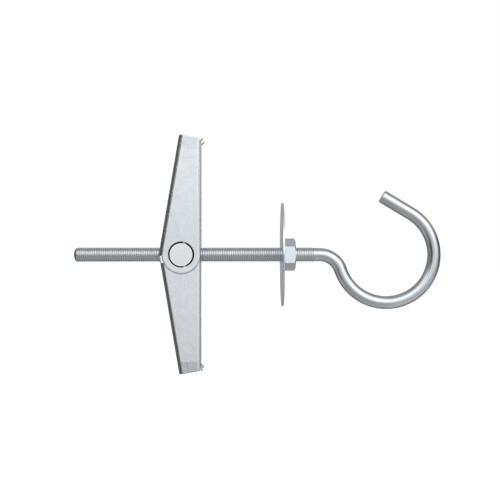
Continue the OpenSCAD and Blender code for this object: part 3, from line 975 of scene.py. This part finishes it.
world = bpy.data.worlds.new("studio")
bpy.context.scene.world = world
world.use_nodes = True
tree = world.node_tree
tree.nodes.clear()
way = put(tree, "ShaderNodeTexCoord", (-1200, 0))
apart = put(tree, "ShaderNodeSeparateXYZ", (-1000, 0))
ahead = figure(tree, (-820, -100), "MULTIPLY", second=-1)
angle = figure(tree, (-640, 0), "ARCTAN2")
turned = span(tree, (-460, 0), -math.pi, math.pi)
over = put(tree, "ShaderNodeValToRGB", (-280, 100))
across = span(tree, (-460, -260), -2, 2)
beside = put(tree, "ShaderNodeValToRGB", (-280, -200))
sideways = figure(tree, (-1000, -420), "ABSOLUTE")
round_back = figure(tree, (-820, -560), "SUBTRACT", first=2)
is_behind = figure(tree, (-820, -720), "GREATER_THAN", second=0)
reach = put(tree, "ShaderNodeMix", (-640, -560), data_type="FLOAT")
which_side = figure(tree, (-820, -300), "SIGN")
side = figure(tree, (-640, -300), "MULTIPLY")
slope = figure(tree, (-820, -880), "ABSOLUTE")
lift = span(tree, (-460, -880), 0.12, 0.5, to_high=0.85 / 1.5)
lifted = put(
    tree, "ShaderNodeMix", (-60, -300), data_type="RGBA", blend_type="LIGHTEN", sockets={"Factor": 1},
)
at_side = span(tree, (-280, -420), 0.72, 0.95)
evened = put(tree, "ShaderNodeMix", (-60, 100), data_type="RGBA", sockets={"B": (0.36, 0.36, 0.365, 1)})
mirrored = put(
    tree, "ShaderNodeMix", (120, 0), data_type="RGBA", blend_type="MULTIPLY", sockets={"Factor": 1},
)


def fill_ramp(ramp, stops):
    ramp.interpolation = "EASE"
    while len(ramp.elements) > 1:
        ramp.elements.remove(ramp.elements[-1])
    for i, (at, level) in enumerate(stops):
        element = ramp.elements[0] if i == 0 else ramp.elements.new(at)
        element.position = at
        element.color = (level, level * 1.005, level * 1.015, 1)


# The first ramp is the brightness, halved, by the angle up or down from straight at the camera, in degrees.
# The second is a factor on it, divided by 1.5, by the place from left to right, and past -1 and 1 is behind.
fill_ramp(
    over.color_ramp,
    [((a + 180) / 360, v / 2) for a, v in (
        (-180, 0.45), (-165, 0.36), (-148, 0.27), (-122, 0.33), (-96, 0.45), (-75, 0.57), (-50, 0.50),
        (-35, 0.45), (-20, 0.48), (-12, 0.58), (-3, 0.78), (5, 0.98), (15, 1.3), (30, 1.65), (45, 1.5),
        (60, 0.95), (75, 0.52), (90, 0.46), (105, 0.43), (122, 0.41), (150, 0.42), (180, 0.45),
    )],
)
fill_ramp(
    beside.color_ramp,
    [((x + 2) / 4, v / 1.5) for x, v in (
        (-2.0, 1.0), (-1.8, 1.0), (-1.5, 0.7), (-1.2, 0.45), (-1.0, 0.55), (-0.93, 0.35), (-0.85, 0.15),
        (-0.75, 0.10), (-0.64, 0.18), (-0.52, 0.5), (-0.38, 0.95), (0.1, 1.05), (0.27, 1.32), (0.6, 1.3),
        (0.82, 1.15), (0.93, 0.6), (1.03, 0.22), (1.27, 0.16), (1.5, 0.45), (1.8, 1.0), (2.0, 1.0),
    )],
)
path = put(tree, "ShaderNodeLightPath", (0, 400))
white = put(tree, "ShaderNodeBackground", (200, 200), sockets={"Strength": 1})
white.inputs["Color"].default_value = (1, 1, 1, 1)
screens = put(tree, "ShaderNodeBackground", (200, 0), sockets={"Strength": 3})
soft = put(tree, "ShaderNodeBackground", (200, -200), sockets={"Strength": 0.55})
soft.inputs["Color"].default_value = (1, 1, 1, 1)
metal = put(tree, "ShaderNodeMixShader", (400, 0))
shown = put(tree, "ShaderNodeMixShader", (600, 100))
last = put(tree, "ShaderNodeOutputWorld", (800, 100))
link_up(
    tree,
    (way, "Generated", apart, 0), (apart, "Y", ahead, 0), (apart, "Z", angle, 0), (ahead, 0, angle, 1),
    (angle, 0, turned, "Value"), (turned, "Result", over, "Fac"), (apart, "X", sideways, 0),
    (sideways, 0, at_side, "Value"), (sideways, 0, round_back, 1), (apart, "Y", is_behind, 0),
    (is_behind, 0, reach, "Factor"), (sideways, 0, reach, "A"), (round_back, 0, reach, "B"),
    (apart, "X", which_side, 0), (which_side, 0, side, 0), (reach, "Result", side, 1),
    (side, 0, across, "Value"), (across, "Result", beside, "Fac"), (apart, "Z", slope, 0),
    (slope, 0, lift, "Value"), (lift, "Result", lifted, "B"), (beside, "Color", lifted, "A"),
    (at_side, "Result", evened, "Factor"), (over, "Color", evened, "A"),
    (evened, "Result", mirrored, "A"), (lifted, "Result", mirrored, "B"),
    (mirrored, "Result", screens, "Color"), (path, "Is Glossy Ray", metal, "Fac"), (soft, 0, metal, 1),
    (screens, 0, metal, 2), (path, "Is Camera Ray", shown, "Fac"), (metal, 0, shown, 1),
    (white, 0, shown, 2), (shown, 0, last, "Surface"),
)


# ---------------------------------------------------------------- back to object mode
object_mode()
